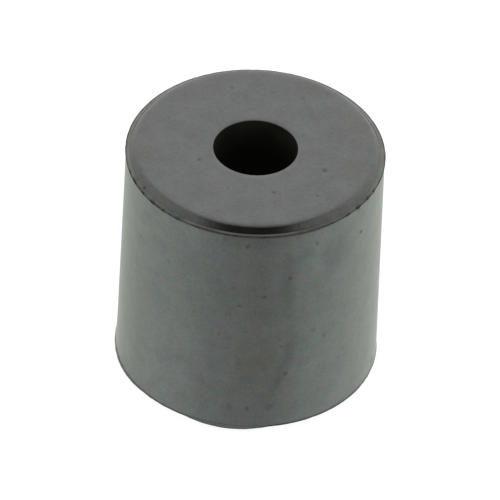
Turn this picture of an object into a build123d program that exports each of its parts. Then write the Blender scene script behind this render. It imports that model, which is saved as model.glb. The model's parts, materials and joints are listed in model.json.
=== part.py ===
from build123d import *
from math import radians, tan
import os

# Cylindrical ferrite core: one short, thick-walled ceramic tube, pressed from powder and sintered.
# It stands on its lower end. The origin is the middle of that end and +Z is the axis of the bore.
# Lengths are in millimetres and angles in degrees.

# Body. The lower end is packed tighter in the press and shrinks less in the kiln, so the wall
# comes out slightly wider there.
body_height = 7.58
upper_wall_diameter = 7.47
lower_wall_diameter = 7.57
bore_diameter = 2.45

# Pressed ends, both alike. The bevelled punch leaves a flat face, a chamfer round it and a narrow
# flat land at the foot of the chamfer. The land runs out into a lip that overhangs the wall.
chamfer_depth = 0.185
chamfer_angle = 50
land_width = 0.12
lip_overhang = 0.03
lip_height = 0.03
lip_flank_height = 0.04

# Edges rounded by tumbling
mouth_radius = 0.02
face_edge_radius = 0.1

# The section has each of its corners twice, once at either end
ends = 2


def end_corners(wall_diameter):
    """Corners of one end from the bore out to the wall, as radius and depth below the end face."""
    wall_radius = wall_diameter / 2
    rim_radius = wall_radius + lip_overhang
    chamfer_foot_radius = rim_radius - land_width
    face_radius = chamfer_foot_radius - chamfer_depth / tan(radians(chamfer_angle))
    lip_depth = chamfer_depth + lip_height
    return [
        (bore_diameter / 2, 0),
        (face_radius, 0),
        (chamfer_foot_radius, chamfer_depth),
        (rim_radius, chamfer_depth),
        (rim_radius, lip_depth),
        (wall_radius, lip_depth + lip_flank_height),
    ]


def core_section():
    """Half of the lengthwise section, on the +X side of the axis, with its tumbled edges."""
    upper = [(radius, body_height - depth) for radius, depth in end_corners(upper_wall_diameter)]
    lower = [(radius, depth) for radius, depth in end_corners(lower_wall_diameter)]
    with BuildSketch(Plane.XZ) as section:
        with BuildLine():
            Polyline(*upper, *reversed(lower), close=True)
        make_face()
        outward = section.vertices().sort_by(Axis.X)
        fillet(outward[ends : 2 * ends], face_edge_radius)
        outward = section.vertices().sort_by(Axis.X)
        fillet(outward[:ends], mouth_radius)
    return section.sketch


def ferrite_core():
    """The whole core, its section turned once about the axis of the bore."""
    core = revolve(core_section(), axis=Axis.Z)
    core.label = "ferrite_core"
    return core


os.makedirs("parts", exist_ok=True)
export_step(ferrite_core(), "parts/ferrite_core.step")
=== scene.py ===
import json
from dataclasses import dataclass
from math import atan2, ceil, cos, degrees, hypot, pi, radians, sin, tan

import bmesh
import bpy
import numpy as np
from mathutils import Matrix, Vector, noise


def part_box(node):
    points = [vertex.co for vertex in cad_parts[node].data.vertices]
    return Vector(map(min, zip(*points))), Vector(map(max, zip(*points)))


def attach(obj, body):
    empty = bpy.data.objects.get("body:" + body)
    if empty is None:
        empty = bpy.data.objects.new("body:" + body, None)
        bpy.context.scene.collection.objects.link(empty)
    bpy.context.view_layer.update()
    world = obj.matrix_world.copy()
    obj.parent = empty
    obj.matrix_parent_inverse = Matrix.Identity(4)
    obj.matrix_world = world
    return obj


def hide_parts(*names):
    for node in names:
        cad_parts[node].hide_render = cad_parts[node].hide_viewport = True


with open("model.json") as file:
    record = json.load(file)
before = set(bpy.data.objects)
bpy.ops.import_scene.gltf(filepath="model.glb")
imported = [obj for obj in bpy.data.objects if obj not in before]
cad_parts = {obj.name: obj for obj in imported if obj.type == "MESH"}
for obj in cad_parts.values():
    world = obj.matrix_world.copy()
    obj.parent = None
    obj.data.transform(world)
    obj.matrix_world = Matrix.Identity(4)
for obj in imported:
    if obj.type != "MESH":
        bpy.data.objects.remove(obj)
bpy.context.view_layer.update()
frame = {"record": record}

# Everything is in metres. Small sizes are written in millimetres and multiplied by MM.
MM = 0.001

# The core's main sizes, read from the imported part
NODE = "ferrite_core"
PIECE = NODE + "_finished"
core_low, core_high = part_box(NODE)
mounts = {mount["name"]: mount for mount in frame["record"]["mounts"]}
height = core_high.z - core_low.z
bore_radius = mounts["bore"]["dims"]["r_mm"] * MM
lip_overhang = 0.03 * MM
lower_wall_radius = min(core_high.x, core_high.y) - lip_overhang
upper_wall_radius = 2 * mounts["outer_wall"]["dims"]["r_mm"] * MM - lower_wall_radius

# The pressed ends. The land falls away a little, and its outermost part is worn down further.
chamfer_depth = 0.185 * MM
chamfer_angle = radians(50)
land_width = 0.12 * MM
upper_land_slope = radians(9)
lower_land_slope = radians(4)
worn_width = 0.03 * MM
worn_depth = 0.01 * MM
lip_height = 0.03 * MM
lip_flank_height = 0.03 * MM
lip_wear = 0.004 * MM

# How far each edge is rounded
mouth_rounding = 0.02 * MM
face_edge_rounding = 0.12 * MM
chamfer_foot_rounding = 0.02 * MM
lip_rounding = 0.005 * MM
flank_foot_rounding = 0.06 * MM

# Mesh spacing along the outline, and the number of columns round the axis
wall_spacing = 0.14 * MM
face_spacing = 0.15 * MM
edge_spacing = 0.04 * MM
bore_spacing = 0.5 * MM
arc_step = radians(18)
columns = 288

# Round each pore and nick the mesh is divided again and again, each time nearer to it
pore_margins = (0.16 * MM, 0.06 * MM, 0.02 * MM)
nick_margins = (0.04 * MM, 0.0)
weld_distance = 0.00001 * MM

# How deep a pore is whose skin is gone altogether, and how dull the skin of a nick is
pore_depth = 0.03 * MM
nick_dullness = 0.5

# Place and size of the marks that follow the upper land and the upper lip, and of the painted shade along
# the lower lip, in millimetres
land_mark_radius = 3.7
land_mark_below = 0.19
land_mark_width = 0.24
lip_mark_radius = 3.76
lip_mark_below = 0.2
lip_mark_length = 0.9
lip_mark_width = 0.2
foot_mark_height = 0.2
foot_mark_width = 0.12

# The lips are a little ragged
ragged_depth = 0.012 * MM
ragged_scale = 1 / (0.22 * MM)

# Zones of the surface, each with its own finish. The last two are the lip's worn edge and its flank
# towards the wall.
ZONES = ("face", "wall", "chamfer", "land", "bore", "broken", "flank")
LIP_ZONES = ("broken", "flank")

# The mottling and the unevenness of the skin. A noise texture's values lie mostly between
# noise_low and noise_high.
cloud_size = 0.6 * MM
patch_size = 0.32 * MM
grain_size = 0.08 * MM
swell_height = 0.02 * MM
grain_height = 0.004 * MM
relief = 0.3
noise_low = 0.3
noise_high = 0.7

# The floor: its size, its own glow and its paleness as the camera sees it, and its real paleness
floor_half_width = 90 * MM
floor_glow = 0.93
floor_seen_level = 0.3
floor_level = 0.8

# The photograph's camera
image_size = 500
camera_elevation = radians(40.42)
camera_roll = radians(2.78)
camera_distance = 0.6
camera_aim_height = 3.69 * MM
camera_lens = 1491
sensor_width = 36
aim_right_px = 0.67
aim_down_px = 0.3


@dataclass
class Mark:
    """A pore, nick, stain or patch of painted shade round a place. It fades out at its half length and
    half width.
    """

    centre: Vector
    along: Vector
    half_length: float
    half_width: float
    depth: float = 0.0
    film: tuple = (1.0, 1.0, 1.0)


@dataclass
class Burr:
    """A stretch round the upper or lower end that stands out, hangs down or, where out is negative,
    is worn back. Its angles are in degrees.
    """

    upper: bool
    azimuth: float
    half_angle: float
    out: float = 0.0
    down: float = 0.0

    def share(self, place):
        """How much of it there is at a place: 1 at its middle and 0 from its ends on."""
        x, y, z = place
        off_middle = (degrees(atan2(x, -y)) - self.azimuth) / self.half_angle
        return max(1 - off_middle**2, 0) if self.upper == (z > height / 2) else 0


# Burrs on the upper lip and the lower one, and a worn stretch of the lower one on the right
BURRS = [
    Burr(True, -50, 28, out=0.03 * MM),
    Burr(False, -76, 26, down=0.075 * MM),
    Burr(False, -7.5, 19, down=0.10 * MM),
    Burr(False, 86, 30, out=-0.013 * MM),
]

# The foot of the wall flares out a little on the left
FLARE = Burr(False, -75, 60, out=0.03 * MM)
flare_height = 1.4 * MM


def around(azimuth, radius, z):
    """A point at an azimuth in degrees, counted from the front towards +X."""
    return Vector((radius * sin(radians(azimuth)), -radius * cos(radians(azimuth)), z))


def wall_mark(azimuth, z, length, width, slant=0, **effect):
    """A mark on the wall, in degrees and millimetres. Its slant is counted upwards from level, as
    seen from outside.
    """
    share = z * MM / height
    radius = lower_wall_radius + (upper_wall_radius - lower_wall_radius) * share
    level = Vector((cos(radians(azimuth)), sin(radians(azimuth)), 0))
    along = level * cos(radians(slant)) + Vector((0, 0, 1)) * sin(radians(slant))
    return Mark(around(azimuth, radius, z * MM), along, length / 2 * MM, width / 2 * MM, **effect)


def face_mark(azimuth, radius, length, width, slant=0, below=0.0, **effect):
    """A mark on the upper end, in degrees and millimetres. Its slant is counted from +X towards +Y."""
    along = Vector((cos(radians(slant)), sin(radians(slant)), 0))
    centre = around(azimuth, radius * MM, height - below * MM)
    return Mark(centre, along, length / 2 * MM, width / 2 * MM, **effect)


def land_mark(azimuth, length, **effect):
    """A mark that runs along the upper land and covers its width."""
    return face_mark(
        azimuth, land_mark_radius, length, land_mark_width, azimuth, land_mark_below, **effect
    )


def lip_mark(azimuth, **effect):
    """A short mark along the upper lip and the outer edge of its land."""
    return face_mark(
        azimuth, lip_mark_radius, lip_mark_length, lip_mark_width, azimuth, lip_mark_below, **effect
    )


def foot_shade_mark(azimuth, **effect):
    """A short band of painted shade along the lower lip, where the core stands on the floor."""
    return wall_mark(azimuth, foot_mark_height, lip_mark_length, foot_mark_width, **effect)


def rim_nick(azimuth, length, width, depth):
    """A nick that runs along the upper lip, in degrees and millimetres. Its broken skin is dull."""
    centre = around(azimuth, upper_wall_radius + lip_overhang, height - chamfer_depth - lip_height / 2)
    along = Vector((cos(radians(azimuth)), sin(radians(azimuth)), 0))
    return Mark(centre, along, length / 2 * MM, width / 2 * MM, depth * MM, dim(nick_dullness))


def dim(amount, tint=(1, 1, 1)):
    """A film that takes a share off the gloss and may tint what is left."""
    return tuple((1 - amount) * channel for channel in tint)


def pore(darkness):
    """The effect of an open pore: a shallow pit, the deeper the darker. Its dimmed gloss is partly the
    pore's broken skin and partly painted shade in the pit.
    """
    return {"depth": pore_depth * darkness, "film": dim(darkness)}


# Tints of the skin, and of the gloss and the body of its worn parts
BROWN = (1.0, 0.97, 0.93)
ROSE = (1.0, 0.915, 0.92)
VIOLET = (1.0, 0.92, 1.0)
TEAL = (0.90, 1.0, 0.965)
SEA_GREEN = (0.84, 1.0, 0.95)
BLUE = (0.95, 0.97, 1.0)
OLIVE_GLOSS = (0.97, 1.0, 0.93)
OLIVE = (1.0, 0.97, 0.72)


def pores():
    """The pores and scratches that the photograph shows."""
    return [
        wall_mark(57.0, 6.33, 0.28, 0.20, 0, **pore(0.55)),
        wall_mark(30.2, 6.81, 0.28, 0.15, -65, **pore(0.29)),
        wall_mark(18.0, 5.72, 0.22, 0.20, 0, **pore(0.37)),
        wall_mark(7.1, 5.09, 0.21, 0.16, -20, **pore(0.45)),
        wall_mark(-12.0, 3.60, 0.16, 0.18, 0, **pore(0.3)),
        wall_mark(36.2, 3.21, 0.24, 0.24, 0, **pore(0.25)),
        wall_mark(17.7, 2.12, 0.24, 0.22, 0, **pore(0.34)),
        wall_mark(1.6, 0.88, 0.26, 0.28, 0, **pore(0.35)),
        wall_mark(11.3, 0.94, 0.46, 0.40, 0, **pore(0.2)),
        wall_mark(30.2, 3.55, 0.28, 0.22, 0, **pore(0.24)),
        wall_mark(-23.6, 4.19, 0.16, 0.20, 0, **pore(0.16)),
        wall_mark(-38.4, 5.63, 0.28, 0.24, 0, **pore(0.16)),
        wall_mark(-46.7, 4.44, 0.14, 0.12, 0, **pore(0.22)),
        wall_mark(-57.1, 5.74, 0.26, 0.16, 20, **pore(0.18)),
        wall_mark(-8.6, 3.12, 0.14, 0.14, 0, **pore(0.14)),
        wall_mark(-3.8, 4.75, 0.30, 0.15, 15, **pore(0.36)),
        wall_mark(15.3, 3.18, 0.20, 0.16, 0, **pore(0.22)),
        wall_mark(-6.0, 0.94, 0.30, 0.34, 0, **pore(0.17)),
        wall_mark(75.5, 0.57, 0.50, 0.20, 0, **pore(0.42)),
        wall_mark(-1.1, 7.00, 0.28, 0.18, 60, **pore(0.4)),
        # A short curved scratch that ends in the pore near the middle
        wall_mark(2.5, 5.35, 0.36, 0.10, -50, **pore(0.17)),
        wall_mark(4.9, 5.12, 0.28, 0.11, -15, **pore(0.2)),
        # The upper face
        face_mark(-67.0, 1.75, 0.18, 0.24, 0, **pore(0.33)),
        face_mark(65.9, 2.21, 0.24, 0.28, 0, **pore(0.31)),
        face_mark(16.6, 2.07, 0.25, 0.18, -30, **pore(0.20)),
        face_mark(42.3, 2.75, 0.16, 0.14, 0, **pore(0.19)),
        face_mark(150.8, 2.64, 0.16, 0.20, 0, **pore(0.16)),
        face_mark(-163.8, 2.71, 0.15, 0.19, 0, **pore(0.22)),
        face_mark(169.6, 2.53, 0.16, 0.22, 0, **pore(0.12)),
        # The foot of the chamfer, on the left
        face_mark(-59.5, 3.64, 0.20, 0.20, 0, 0.15, **pore(0.5)),
    ]


def nicks():
    """The nicks in the upper lip, from left to right."""
    return [
        rim_nick(-92.0, 0.18, 0.10, 0.02),
        rim_nick(-73.0, 0.22, 0.14, 0.03),
        rim_nick(-66.0, 0.40, 0.14, 0.035),
        rim_nick(-57.5, 0.18, 0.14, 0.035),
        rim_nick(-50.0, 0.28, 0.14, 0.03),
        rim_nick(-43.0, 0.16, 0.14, 0.035),
        rim_nick(-35.0, 0.26, 0.12, 0.03),
        rim_nick(-11.0, 0.34, 0.12, 0.025),
        rim_nick(38.0, 0.20, 0.12, 0.02),
        rim_nick(47.0, 0.28, 0.16, 0.035),
        rim_nick(54.3, 0.34, 0.20, 0.05),
        rim_nick(62.0, 0.24, 0.18, 0.045),
        rim_nick(68.0, 0.26, 0.18, 0.045),
        rim_nick(74.5, 0.20, 0.14, 0.03),
    ]


def stains_and_painted_shade():
    """Soft patches where the kiln or rubbing left the skin duller or tinted, and patches of painted shade
    and painted reflection that dim the gloss.
    """
    return [
        # Dark streaks down the front of the wall, and its larger dull patches. Two of the patches are not
        # stains: a broad painted reflection over the front, and painted shade just under the upper lip.
        wall_mark(17.8, 5.5, 4.8, 0.56, 94, film=dim(0.16)),
        wall_mark(19.6, 3.1, 1.9, 0.60, 84, film=dim(0.18)),
        wall_mark(15.6, 2.1, 2.6, 0.60, 76, film=dim(0.16)),
        wall_mark(6.0, 2.6, 2.8, 2.4, 90, film=dim(0.05, BROWN)),
        wall_mark(42.0, 6.0, 1.7, 1.9, 0, film=dim(0.14)),
        # Painted reflection: a broad, faint dimming of the front of the wall, for the darker floor it
        # mirrors in front
        wall_mark(0.0, 5.6, 11.0, 6.4, 0, film=dim(0.05)),
        wall_mark(-3.3, 2.60, 0.9, 0.20, 93, film=dim(0.16)),
        wall_mark(-1.1, 2.54, 0.8, 0.6, 90, film=dim(0.03, BROWN)),
        # Painted shade on the front of the wall just under the upper lip
        wall_mark(2.0, 7.2, 3.4, 0.9, 0, film=dim(0.16)),
        wall_mark(-11.0, 7.22, 0.34, 0.36, 0, film=dim(0.2, ROSE)),
        # Small tinted patches
        wall_mark(-27.3, 4.63, 0.55, 0.3, 90, film=dim(0.05, VIOLET)),
        wall_mark(-25.0, 5.9, 1.4, 0.8, 80, film=BLUE),
        wall_mark(-20.2, 1.78, 0.6, 0.4, 0, film=dim(0.03, ROSE)),
        wall_mark(-19.8, 1.06, 0.6, 0.4, 0, film=dim(0.03, ROSE)),
        wall_mark(-46.7, 0.61, 0.7, 0.4, 30, film=ROSE),
        wall_mark(-44.0, 4.0, 1.2, 0.7, 70, film=TEAL),
        wall_mark(-38.0, 2.3, 0.6, 0.5, 0, film=TEAL),
        wall_mark(25.9, 6.5, 0.7, 0.7, 0, film=SEA_GREEN),
        wall_mark(37.0, 6.3, 0.8, 0.4, -20, film=ROSE),
        wall_mark(33.0, 5.2, 1.0, 0.4, 20, film=ROSE),
        wall_mark(27.0, 2.9, 0.7, 0.6, 60, film=TEAL),
        wall_mark(35.0, 1.2, 0.9, 0.5, 0, film=BROWN),
        # The upper face
        face_mark(-8.0, 2.6, 1.3, 0.8, 0, film=dim(0.04)),
        face_mark(45.0, 2.6, 2.4, 1.6, 45, film=dim(0.04)),
        face_mark(75.0, 3.0, 2.0, 1.2, 75, film=dim(0.03, BROWN)),
        face_mark(110.0, 3.0, 2.0, 1.0, 100, film=BROWN),
        face_mark(150.0, 3.2, 1.8, 0.8, -30, film=BROWN),
        face_mark(-140.0, 3.1, 2.2, 0.9, 35, film=BROWN),
        face_mark(-61.4, 3.19, 0.26, 0.2, 0, film=dim(0.12, BLUE)),
        face_mark(-80.0, 3.2, 1.2, 0.6, 80, film=dim(0.03, BROWN)),
        # The land is rubbed dull all along the front
        *(land_mark(azimuth, 1.8, film=dim(0.15)) for azimuth in range(-70, 60, 14)),
        *(land_mark(azimuth, 1.3, film=dim(0.28)) for azimuth in (-60, -42, -20, 30, 46, 62)),
        *(land_mark(azimuth, 0.4, film=dim(0.28)) for azimuth in (-67, -51, -34, 22, 37, 54)),
        # The upper lip is dull all along the back. Along the front, the lower lip's gloss is dimmed as
        # painted shade, the dark line where the core stands on the floor.
        *(lip_mark(azimuth, film=dim(0.45)) for azimuth in range(92, 269, 8)),
        *(foot_shade_mark(azimuth, film=dim(0.6)) for azimuth in range(-90, 91, 6)),
    ]


def end_corners(wall_radius, slope):
    """Corners of one end from bore to wall: radius, depth from the face, rounding and its zone."""
    rim_radius = wall_radius + lip_overhang - lip_wear
    chamfer_foot_radius = wall_radius + lip_overhang - land_width
    chamfer_head_radius = chamfer_foot_radius - chamfer_depth / tan(chamfer_angle)
    worn_edge_radius = rim_radius - worn_width
    worn_edge_depth = chamfer_depth + (worn_edge_radius - chamfer_foot_radius) * tan(slope)
    worn_rim_depth = worn_edge_depth + worn_depth
    lip_depth = chamfer_depth + lip_height
    return [
        (bore_radius, 0, mouth_rounding, "face"),
        (chamfer_head_radius, 0, face_edge_rounding, "face"),
        (chamfer_foot_radius, chamfer_depth, chamfer_foot_rounding, "land"),
        (worn_edge_radius, worn_edge_depth, lip_rounding, "broken"),
        (rim_radius, worn_rim_depth, lip_rounding, "broken"),
        (rim_radius, lip_depth, lip_rounding, "broken"),
        (wall_radius, lip_depth + lip_flank_height, flank_foot_rounding, "wall"),
    ]


# Zone and mesh spacing of the straight runs between the corners of one end
END_RUNS = [
    ("face", face_spacing),
    ("chamfer", edge_spacing),
    ("land", edge_spacing),
    ("broken", edge_spacing),
    ("broken", edge_spacing),
    ("flank", edge_spacing),
]


def core_outline():
    """The closed, rounded half section as points, with the zone of the stretch after each point.

    It runs anticlockwise from the lower mouth of the bore.
    """
    lower = end_corners(lower_wall_radius, lower_land_slope)
    upper = [
        (radius, height - depth, *rest)
        for radius, depth, *rest in end_corners(upper_wall_radius, upper_land_slope)
    ]
    corners = lower + upper[::-1]
    runs = END_RUNS + [("wall", wall_spacing)] + END_RUNS[::-1] + [("bore", bore_spacing)]
    arcs = [corner_arc(corners, index) for index in range(len(corners))]
    points, zones = [], []
    for index, arc in enumerate(arcs):
        points += arc
        zones += [corners[index][3]] * (len(arc) - 1)
        zone, spacing = runs[index]
        start, end = arc[-1], arcs[(index + 1) % len(arcs)][0]
        pieces = max(1, round(hypot(*(end - start)) / spacing))
        points += [start + (end - start) * step / pieces for step in range(1, pieces)]
        zones += [zone] * pieces
    return np.array(points), zones


def corner_arc(corners, index):
    """The points of the arc that rounds one corner of a closed outline."""
    radius, z, rounding, _ = corners[index]
    corner = np.array((radius, z))
    before = np.array(corners[index - 1][:2]) - corner
    after = np.array(corners[(index + 1) % len(corners)][:2]) - corner
    before /= hypot(*before)
    after /= hypot(*after)
    turn = pi - np.arccos(np.clip(before @ after, -1, 1))
    reach = rounding * tan(turn / 2)
    middle = corner + (before + after) / hypot(*(before + after)) * rounding / cos(turn / 2)
    start = corner + before * reach - middle
    end = corner + after * reach - middle
    steps = max(2, ceil(turn / arc_step))
    shares = [step / steps for step in range(steps + 1)]
    spokes = [start * sin((1 - share) * turn) + end * sin(share * turn) for share in shares]
    return [middle + spoke / sin(turn) for spoke in spokes]


def flat_sheet(rows):
    """The surface unrolled: a grid with one column per unit of X and one outline point per unit of Y."""
    sheet = bmesh.new()
    grid = [
        [sheet.verts.new((column, row, 0)) for column in range(columns + 1)]
        for row in range(rows + 1)
    ]
    for lower, upper in zip(grid, grid[1:]):
        for column in range(columns):
            sheet.faces.new((lower[column], lower[column + 1], upper[column + 1], upper[column]))
    return sheet


def rolled_up(points, outline):
    """Where points of the sheet lie on the core, and which way is outward there."""
    closed = np.vstack((outline, outline[:1]))
    tangents = np.roll(outline, -1, axis=0) - np.roll(outline, 1, axis=0)
    tangents /= np.hypot(*tangents.T)[:, None]
    tangents = np.vstack((tangents, tangents[:1]))
    rows = np.arange(len(closed))
    radius, z, slope_radius, slope_z = (
        np.interp(points[:, 1], rows, values) for values in (*closed.T, *tangents.T)
    )
    angle = (points[:, 0] / columns - 0.5) * 2 * pi
    sideways = np.stack((np.sin(angle), -np.cos(angle)), axis=-1)
    places = np.column_stack((sideways * radius[:, None], z))
    outward = np.column_stack((sideways * slope_z[:, None], -slope_radius))
    return places, outward / np.linalg.norm(outward, axis=1)[:, None]


def strength(mark, places, margin=0.0):
    """How strongly a mark acts at each place: 1 at its middle and 0 from its end on."""
    offsets = places - np.array(mark.centre)
    along = offsets @ np.array(mark.along)
    across = np.sqrt(np.maximum((offsets**2).sum(axis=1) - along**2, 0))
    spread = (along / (mark.half_length + margin)) ** 2 + (across / (mark.half_width + margin)) ** 2
    return np.maximum(1 - spread, 0) ** 2


def refine(sheet, outline, marks, margins):
    """Divide the cells of the sheet within each margin of the marks in turn."""
    for margin in margins:
        faces = list(sheet.faces)
        centres = np.array([face.calc_center_median() for face in faces])
        places, _ = rolled_up(centres, outline)
        near = np.zeros(len(faces), bool)
        for mark in marks:
            near |= strength(mark, places, margin) > 0
        # Each edge once, always in the same order
        edges = dict.fromkeys(edge for face, chosen in zip(faces, near) if chosen for edge in face.edges)
        bmesh.ops.subdivide_edges(
            sheet, edges=list(edges), cuts=1, use_grid_fill=True, use_single_edge=True
        )


def away_from_axis(place):
    """The level direction from the axis of the bore to a place."""
    return np.array((place[0], place[1], 0)) / hypot(place[0], place[1])


def burr_move(place):
    """How far, and which way, a place on a lip is moved by the burrs."""
    outward = away_from_axis(place)
    down = np.array((0, 0, -1))
    return sum(burr.share(place) * (burr.out * outward + burr.down * down) for burr in BURRS)


def flare_move(place):
    """How far, and which way, a place on the wall or a lip is moved by the flare."""
    height_share = max(1 - place[2] / flare_height, 0) ** 2
    return FLARE.share(place) * height_share * FLARE.out * away_from_axis(place)


def core_mesh():
    """The whole surface: the sheet, refined, zoned, marked and rolled up into a closed skin."""
    outline, zones = core_outline()
    deep = pores() + nicks()
    sheet = flat_sheet(len(outline))
    refine(sheet, outline, pores(), pore_margins)
    refine(sheet, outline, nicks(), nick_margins)
    film_layer = sheet.verts.layers.float_color.new("film")
    for face in sheet.faces:
        face.material_index = ZONES.index(zones[int(face.calc_center_median().y)])
        face.smooth = True

    verts = list(sheet.verts)
    points = np.array([vert.co for vert in verts])
    places, outward = rolled_up(points, outline)
    depths = sum(mark.depth * strength(mark, places) for mark in deep)
    film = np.ones((len(verts), 3))
    for mark in deep + stains_and_painted_shade():
        film *= 1 - strength(mark, places)[:, None] * (1 - np.array(mark.film))
    for vert, row, place, normal, depth, tint in zip(verts, points[:, 1], places, outward, depths, film):
        zone = zones[int(row) % len(zones)]
        if zone == "wall" or zone in LIP_ZONES:
            place = place + flare_move(place)
        if zone in LIP_ZONES:
            depth += ragged_depth * abs(noise.noise(Vector(place) * ragged_scale))
            place = place + burr_move(place)
        vert.co = Vector(place) - Vector(normal) * depth
        vert[film_layer] = (*tint, 1)
    bmesh.ops.remove_doubles(sheet, verts=verts, dist=weld_distance)
    mesh = bpy.data.meshes.new(PIECE)
    sheet.to_mesh(mesh)
    sheet.free()
    mesh.validate()
    return mesh


def new_node(tree, kind, inputs=(), **settings):
    """A shader node with its settings and the inputs that are given as numbers, colours or sockets."""
    node = tree.nodes.new(kind)
    for setting, value in settings.items():
        setattr(node, setting, value)
    for socket, value in dict(inputs).items():
        if isinstance(value, bpy.types.NodeSocket):
            tree.links.new(value, node.inputs[socket])
        else:
            node.inputs[socket].default_value = value
    return node


def smooth_range(tree, value, start, end):
    """A smooth step from 0 where the value is at start to 1 where it is at end."""
    inputs = {"Value": value, "From Min": start, "From Max": end}
    return new_node(tree, "ShaderNodeMapRange", inputs, interpolation_type="SMOOTHSTEP").outputs["Result"]


def scaled_range(tree, value, low, high, from_low=0.0, from_high=1.0):
    """A value stretched from one range to another."""
    inputs = {"Value": value, "From Min": from_low, "From Max": from_high, "To Min": low, "To Max": high}
    return new_node(tree, "ShaderNodeMapRange", inputs).outputs["Result"]


def multiplied(tree, first, second):
    """The product of two values."""
    return new_node(tree, "ShaderNodeMath", {0: first, 1: second}, operation="MULTIPLY").outputs[0]


def mixed(tree, share, first, second, blend="MIX"):
    """A colour between two others, or another blend of them."""
    node = new_node(tree, "ShaderNodeMix", {"Factor": share}, data_type="RGBA", blend_type=blend)
    for socket, value in zip((node.inputs[6], node.inputs[7]), (first, second)):
        if isinstance(value, bpy.types.NodeSocket):
            tree.links.new(value, socket)
        else:
            socket.default_value = value
    return node.outputs[2]


def ramp(tree, value, stops):
    """A colour ramp through stops of position and colour."""
    node = new_node(tree, "ShaderNodeValToRGB", {"Fac": value})
    elements = node.color_ramp.elements
    while len(elements) < len(stops):
        elements.new(1)
    for element, (position, colour) in zip(elements, stops):
        element.position = position
        element.color = colour
    return node.outputs["Color"]


def grey(level, tint=(1, 1, 1)):
    """An opaque colour at a linear level."""
    return tuple(level * channel for channel in tint) + (1,)


def noise_texture(tree, position, size, detail):
    """A cloudy noise whose largest features are about as large as the size that is given."""
    inputs = {"Vector": position, "Scale": 1 / size, "Detail": detail, "Roughness": 0.6}
    return new_node(tree, "ShaderNodeTexNoise", inputs)


@dataclass
class Finish:
    """How one zone of the ferrite looks: its body's levels and hue, its gloss and its mottling."""

    body: tuple
    roughness: tuple
    index: float = 2.45
    tint: tuple = (0.965, 1.0, 0.98)
    hue: tuple = (1.0, 1.0, 1.0)
    clouds: float = 0.12
    grains: float = 0.17
    tinge: float = 0.27


def ferrite(zone, finish):
    """Sintered ferrite: nearly black grains whose dense, smooth skin gives a grey gloss."""
    material = bpy.data.materials.new("ferrite_" + zone)
    material.use_nodes = True
    tree = material.node_tree
    shader = tree.nodes["Principled BSDF"]
    shader.inputs["IOR"].default_value = finish.index
    position = new_node(tree, "ShaderNodeTexCoord").outputs["Object"]
    clouds = noise_texture(tree, position, cloud_size, 5)
    patches = noise_texture(tree, position, patch_size, 3)
    grains = noise_texture(tree, position, grain_size, 2)

    # The nearly black body
    low, high = (grey(level, finish.hue) for level in finish.body)
    body = ramp(tree, clouds.outputs["Fac"], [(noise_low, low), (noise_high, high)])
    tree.links.new(body, shader.inputs["Base Color"])

    # The gloss of its skin, mottled and faintly tinged by the kiln, and changed by the pores, nicks,
    # stains and painted shade
    gloss = grey(1, finish.tint)
    for texture, output, share in (
        (clouds, "Fac", finish.clouds),
        (grains, "Fac", finish.grains),
        (patches, "Color", finish.tinge),
    ):
        mottle = texture.outputs[output]
        if output == "Fac":
            mottle = ramp(tree, mottle, [(noise_low, grey(0)), (noise_high, grey(1))])
        gloss = mixed(tree, share, gloss, mottle, "MULTIPLY")
    film = new_node(tree, "ShaderNodeAttribute", attribute_name="film").outputs["Color"]
    gloss = mixed(tree, 1.0, gloss, film, "MULTIPLY")
    tree.links.new(gloss, shader.inputs["Specular Tint"])
    smooth, rough = finish.roughness
    tree.links.new(scaled_range(tree, patches.outputs["Fac"], smooth, rough), shader.inputs["Roughness"])

    # Slight unevenness, and the grain on it
    swell = new_node(
        tree,
        "ShaderNodeBump",
        {"Height": clouds.outputs["Fac"], "Strength": relief, "Distance": swell_height},
    ).outputs["Normal"]
    grain = new_node(
        tree,
        "ShaderNodeBump",
        {"Height": grains.outputs["Fac"], "Strength": relief, "Distance": grain_height, "Normal": swell},
    ).outputs["Normal"]
    tree.links.new(grain, shader.inputs["Normal"])
    return material


def make_core():
    """The core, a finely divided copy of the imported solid's section with its wear."""
    mesh = core_mesh()
    finishes = {
        "face": Finish((0.004, 0.016), (0.26, 0.34), tinge=0.13),
        "wall": Finish((0.004, 0.016), (0.26, 0.34), index=2.65, tint=(0.945, 1, 0.975)),
        "chamfer": Finish((0.010, 0.020), (0.16, 0.26), tint=OLIVE_GLOSS, hue=OLIVE, grains=0.2),
        "land": Finish((0.006, 0.02), (0.26, 0.4), index=2.9, tint=OLIVE_GLOSS, hue=OLIVE, grains=0.15),
        "bore": Finish((0.016, 0.03), (0.4, 0.5), index=1.7, tint=(1, 0.95, 0.85), hue=OLIVE),
        "broken": Finish((0.006, 0.02), (0.4, 0.7), index=2.4, tint=OLIVE_GLOSS, hue=OLIVE),
        "flank": Finish((0.004, 0.016), (0.26, 0.34), index=3.5, tint=(0.97, 1, 0.975)),
    }
    for zone in ZONES:
        mesh.materials.append(ferrite(zone, finishes[zone]))
    core = bpy.data.objects.new(PIECE, mesh)
    bpy.context.scene.collection.objects.link(core)
    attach(core, "root")
    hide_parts(NODE)


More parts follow.
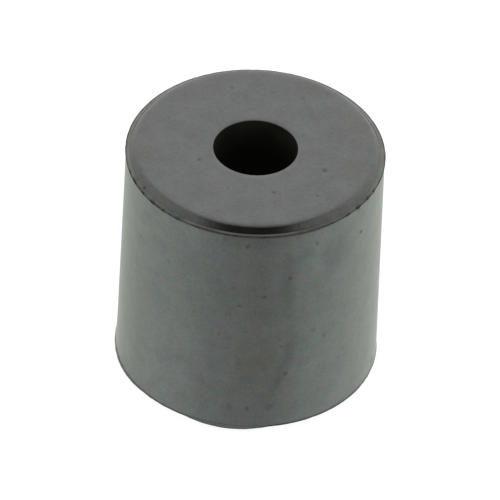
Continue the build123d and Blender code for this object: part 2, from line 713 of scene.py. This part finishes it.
def make_world():
    """A white photographic tent that is open, and so dark, where the camera looks in."""
    world = bpy.data.worlds.new("tent")
    bpy.context.scene.world = world
    world.use_nodes = True
    tree = world.node_tree
    direction = new_node(tree, "ShaderNodeTexCoord").outputs["Generated"]
    axes = new_node(tree, "ShaderNodeSeparateXYZ", {"Vector": direction})
    x, y, z = (axes.outputs[name] for name in "XYZ")
    sideways = new_node(tree, "ShaderNodeMath", {0: x}, operation="ABSOLUTE").outputs[0]
    from_left = scaled_range(tree, x, 0, 1, -1, 1)
    from_front = scaled_range(tree, y, 0, 1, -1, 1)

    # The tent above the horizon. It brightens from front to back, less so at the back left, and is
    # dim overhead.
    tent = ramp(
        tree,
        from_front,
        [
            (0.25, grey(0.58)),
            (0.40, grey(0.72)),
            (0.50, grey(0.76)),
            (0.75, grey(0.88)),
            (0.87, grey(1.00)),
            (0.93, grey(1.30)),
        ],
    )
    left_dimmer = ramp(tree, from_left, [(0.2, grey(0.88)), (0.4, grey(1.0))])
    tent = mixed(tree, smooth_range(tree, y, 0.0, 0.3), tent, left_dimmer, "MULTIPLY")
    overhead = mixed(tree, smooth_range(tree, z, 0.68, 0.87), tent, grey(0.6))

    # The opening that the camera looks in through
    opening = multiplied(
        tree,
        multiplied(tree, smooth_range(tree, z, 0.3, 0.48), smooth_range(tree, z, 0.98, 0.9)),
        multiplied(tree, smooth_range(tree, sideways, 0.68, 0.34), smooth_range(tree, y, -0.04, -0.3)),
    )
    upper = mixed(tree, opening, overhead, grey(0.012))

    # The white sheet below. In front it is dimmest in the middle, behind the core it is brighter, and
    # straight below it lies in the core's own shadow.
    sheet = ramp(
        tree,
        from_left,
        [
            (0.14, grey(1.06, (0.94, 1, 0.95))),
            (0.28, grey(0.81, (0.95, 1, 0.97))),
            (0.42, grey(0.68, (0.97, 1, 0.96))),
            (0.62, grey(0.64, (0.98, 1, 0.97))),
            (0.69, grey(0.69, (0.96, 1, 0.96))),
            (0.74, grey(0.82, (0.94, 1, 0.95))),
            (0.80, grey(0.96, (0.94, 1, 0.95))),
            (0.87, grey(1.09, (0.94, 1, 0.94))),
        ],
    )
    behind = ramp(
        tree,
        from_left,
        [
            (0.12, grey(1.07, (0.94, 1, 0.91))),
            (0.32, grey(1.12, (0.94, 1, 0.90))),
            (0.65, grey(1.22, (0.95, 1, 0.91))),
            (0.88, grey(1.24, (0.94, 1, 0.91))),
        ],
    )
    lower = mixed(tree, smooth_range(tree, y, -0.1, 0.3), sheet, behind)
    lower = mixed(tree, smooth_range(tree, z, -0.82, -0.95), lower, grey(0.2))
    lower = mixed(tree, smooth_range(tree, z, -0.45, -0.2), lower, grey(0.8))

    surroundings = mixed(tree, smooth_range(tree, z, -0.12, 0.06), lower, upper)
    seen = new_node(tree, "ShaderNodeLightPath").outputs["Is Camera Ray"]
    tree.links.new(mixed(tree, seen, surroundings, grey(1)), tree.nodes["Background"].inputs["Color"])


def make_floor():
    """A pale floor that shows white, with the core's soft shadow on it."""
    mesh = bpy.data.meshes.new("floor")
    half = floor_half_width
    corners = [(-half, -half, 0), (half, -half, 0), (half, half, 0), (-half, half, 0)]
    mesh.from_pydata(corners, [], [(0, 1, 2, 3)])
    floor = bpy.data.objects.new("floor", mesh)
    bpy.context.scene.collection.objects.link(floor)
    floor.visible_glossy = False
    material = bpy.data.materials.new("floor")
    material.use_nodes = True
    tree = material.node_tree
    tree.nodes.clear()
    shaded = new_node(tree, "ShaderNodeBsdfDiffuse", {"Color": grey(floor_seen_level)}).outputs[0]
    lifted = new_node(tree, "ShaderNodeEmission", {"Color": grey(1), "Strength": floor_glow}).outputs[0]
    white = new_node(tree, "ShaderNodeAddShader", {0: shaded, 1: lifted}).outputs[0]
    plain = new_node(tree, "ShaderNodeBsdfDiffuse", {"Color": grey(floor_level)}).outputs[0]
    seen = new_node(tree, "ShaderNodeLightPath").outputs["Is Camera Ray"]
    surface = new_node(tree, "ShaderNodeMixShader", {0: seen, 1: plain, 2: white}).outputs[0]
    new_node(tree, "ShaderNodeOutputMaterial", {"Surface": surface})
    mesh.materials.append(material)


def make_camera():
    """A long lens that looks down on the core from the front, rolled a little."""
    data = bpy.data.cameras.new("camera")
    data.lens = camera_lens
    data.sensor_width = sensor_width
    data.shift_x = -aim_right_px / image_size
    data.shift_y = aim_down_px / image_size
    data.clip_start = camera_distance / 10
    data.clip_end = camera_distance * 4
    camera = bpy.data.objects.new("camera", data)
    back = Vector((0, -cos(camera_elevation), sin(camera_elevation)))
    right = Vector((1, 0, 0))
    up = back.cross(right)
    turned_right = right * cos(camera_roll) + up * sin(camera_roll)
    turned_up = up * cos(camera_roll) - right * sin(camera_roll)
    axes = Matrix((turned_right, turned_up, back)).transposed()
    aim = Vector((0, 0, camera_aim_height))
    camera.matrix_world = Matrix.Translation(aim + back * camera_distance) @ axes.to_4x4()
    bpy.context.scene.collection.objects.link(camera)
    bpy.context.scene.camera = camera


make_core()
make_world()
make_floor()
make_camera()
bpy.context.scene.view_settings.view_transform = "Standard"
